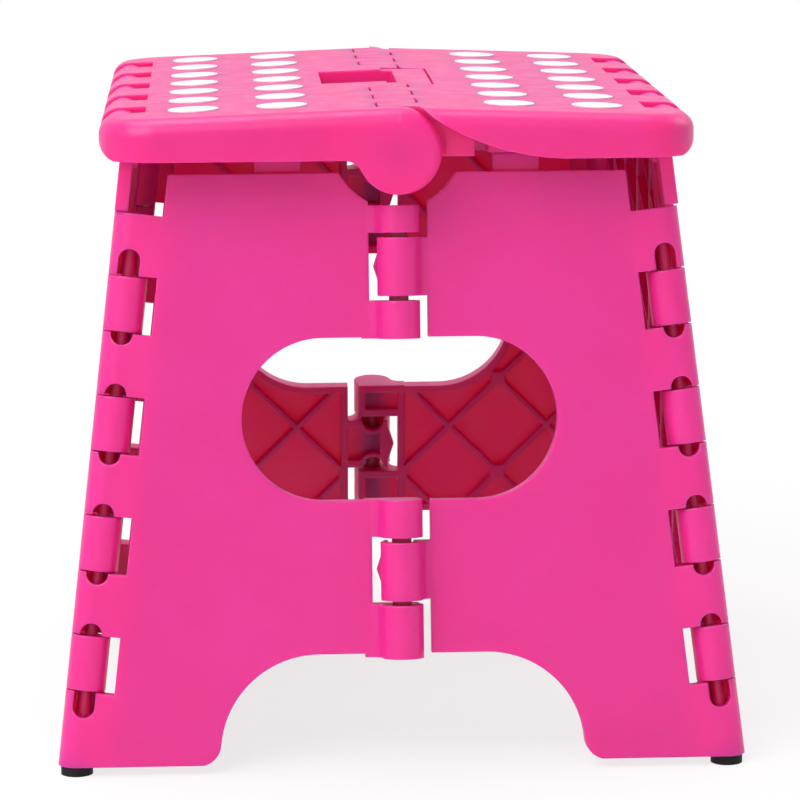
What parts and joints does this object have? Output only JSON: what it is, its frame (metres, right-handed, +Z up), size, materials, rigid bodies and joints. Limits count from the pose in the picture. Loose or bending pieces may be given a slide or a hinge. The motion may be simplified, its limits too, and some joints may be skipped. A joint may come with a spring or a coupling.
{
  "type": "folding step stool",
  "caption": "Folding plastic step stool whose hinged seat halves and walls collapse flat, with grip dots and a carrying bar.",
  "frame": {"origin": "centre of the footprint on the floor, below the middle of the seat", "axes": "+Z up, +X towards the right end panel, +Y towards the back wall; the front wall faces -Y"},
  "size_m": [0.2292, 0.2588, 0.22],
  "materials": {
    "body": "satin moulded pink",
    "pins": "satin moulded pink",
    "grip_dots": "soft white",
    "feet": "matt black"
  },
  "bodies": {
    "end_left": {"end_panel_left": "body", "seat_end_pin_left": "pins"},
    "end_right": {"end_panel_right": "body", "seat_end_pin_right": "pins"},
    "front_left": {"front_panel_left": "body", "corner_pin_front_left": "pins", "front_centre_pin_lower": "pins", "front_centre_pin_upper": "pins", "rubber_foot_front_left": "feet"},
    "front_right": {"front_panel_right": "body", "corner_pin_front_right": "pins", "rubber_foot_front_right": "feet"},
    "back_left": {"back_panel_left": "body", "corner_pin_back_left": "pins", "rubber_foot_back_left": "feet"},
    "back_right": {"back_panel_right": "body", "corner_pin_back_right": "pins", "back_centre_pin_lower": "pins", "back_centre_pin_upper": "pins", "rubber_foot_back_right": "feet"},
    "seat_left": {"seat_left": "body", "grip_dots_left": "grip_dots", "seat_mid_pin_front": "pins", "seat_mid_pin_back": "pins"},
    "seat_right": {"seat_right": "body", "grip_dots_right": "grip_dots"}
  },
  "joints": [
    {"name": "front_left_corner", "type": "hinge", "parent": "end_left", "child": "front_left", "pos_m": [-0.1084, -0.1185, 0], "axis": [0.1161, 0.1269, 0.9851], "range_deg": [0, 88]},
    {"name": "front_centre", "type": "hinge", "parent": "front_left", "child": "front_right", "pos_m": [0, -0.12762, 0.00118], "axis": [0, 0.1376, 0.9905], "range_deg": [-174.36, 0]},
    {"name": "front_right_corner", "type": "hinge", "parent": "front_right", "child": "end_right", "pos_m": [0.1084, -0.1185, 0], "axis": [-0.1161, 0.1269, 0.9851], "range_deg": [0, 88.01]},
    {"name": "back_left_corner", "type": "hinge", "parent": "end_left", "child": "back_left", "pos_m": [-0.1084, 0.1185, 0], "axis": [0.1161, -0.1269, 0.9851], "range_deg": [-88.01, 0]},
    {"name": "back_right_corner", "type": "hinge", "parent": "end_right", "child": "back_right", "pos_m": [0.1084, 0.1185, 0], "axis": [-0.1161, -0.1269, 0.9851], "range_deg": [0, 88.01]},
    {"name": "seat_left_hinge", "type": "hinge", "parent": "end_left", "child": "seat_left", "pos_m": [-0.0909, 0, 0.20992], "axis": [0, -1, 0], "range_deg": [0, 75.36]},
    {"name": "seat_right_hinge", "type": "hinge", "parent": "end_right", "child": "seat_right", "pos_m": [0.0909, 0, 0.20992], "axis": [0, 1, 0], "range_deg": [0, 75.36]}
  ],
  "couplings": [
    {"joint": "front_centre", "follows": "front_left_corner", "ratio": -1.9812},
    {"joint": "front_right_corner", "follows": "front_left_corner", "ratio": 1},
    {"joint": "back_left_corner", "follows": "front_left_corner", "ratio": -1},
    {"joint": "back_right_corner", "follows": "front_left_corner", "ratio": 1},
    {"joint": "seat_left_hinge", "follows": "front_left_corner", "ratio": 0.8563},
    {"joint": "seat_right_hinge", "follows": "front_left_corner", "ratio": 0.8563}
  ]
}
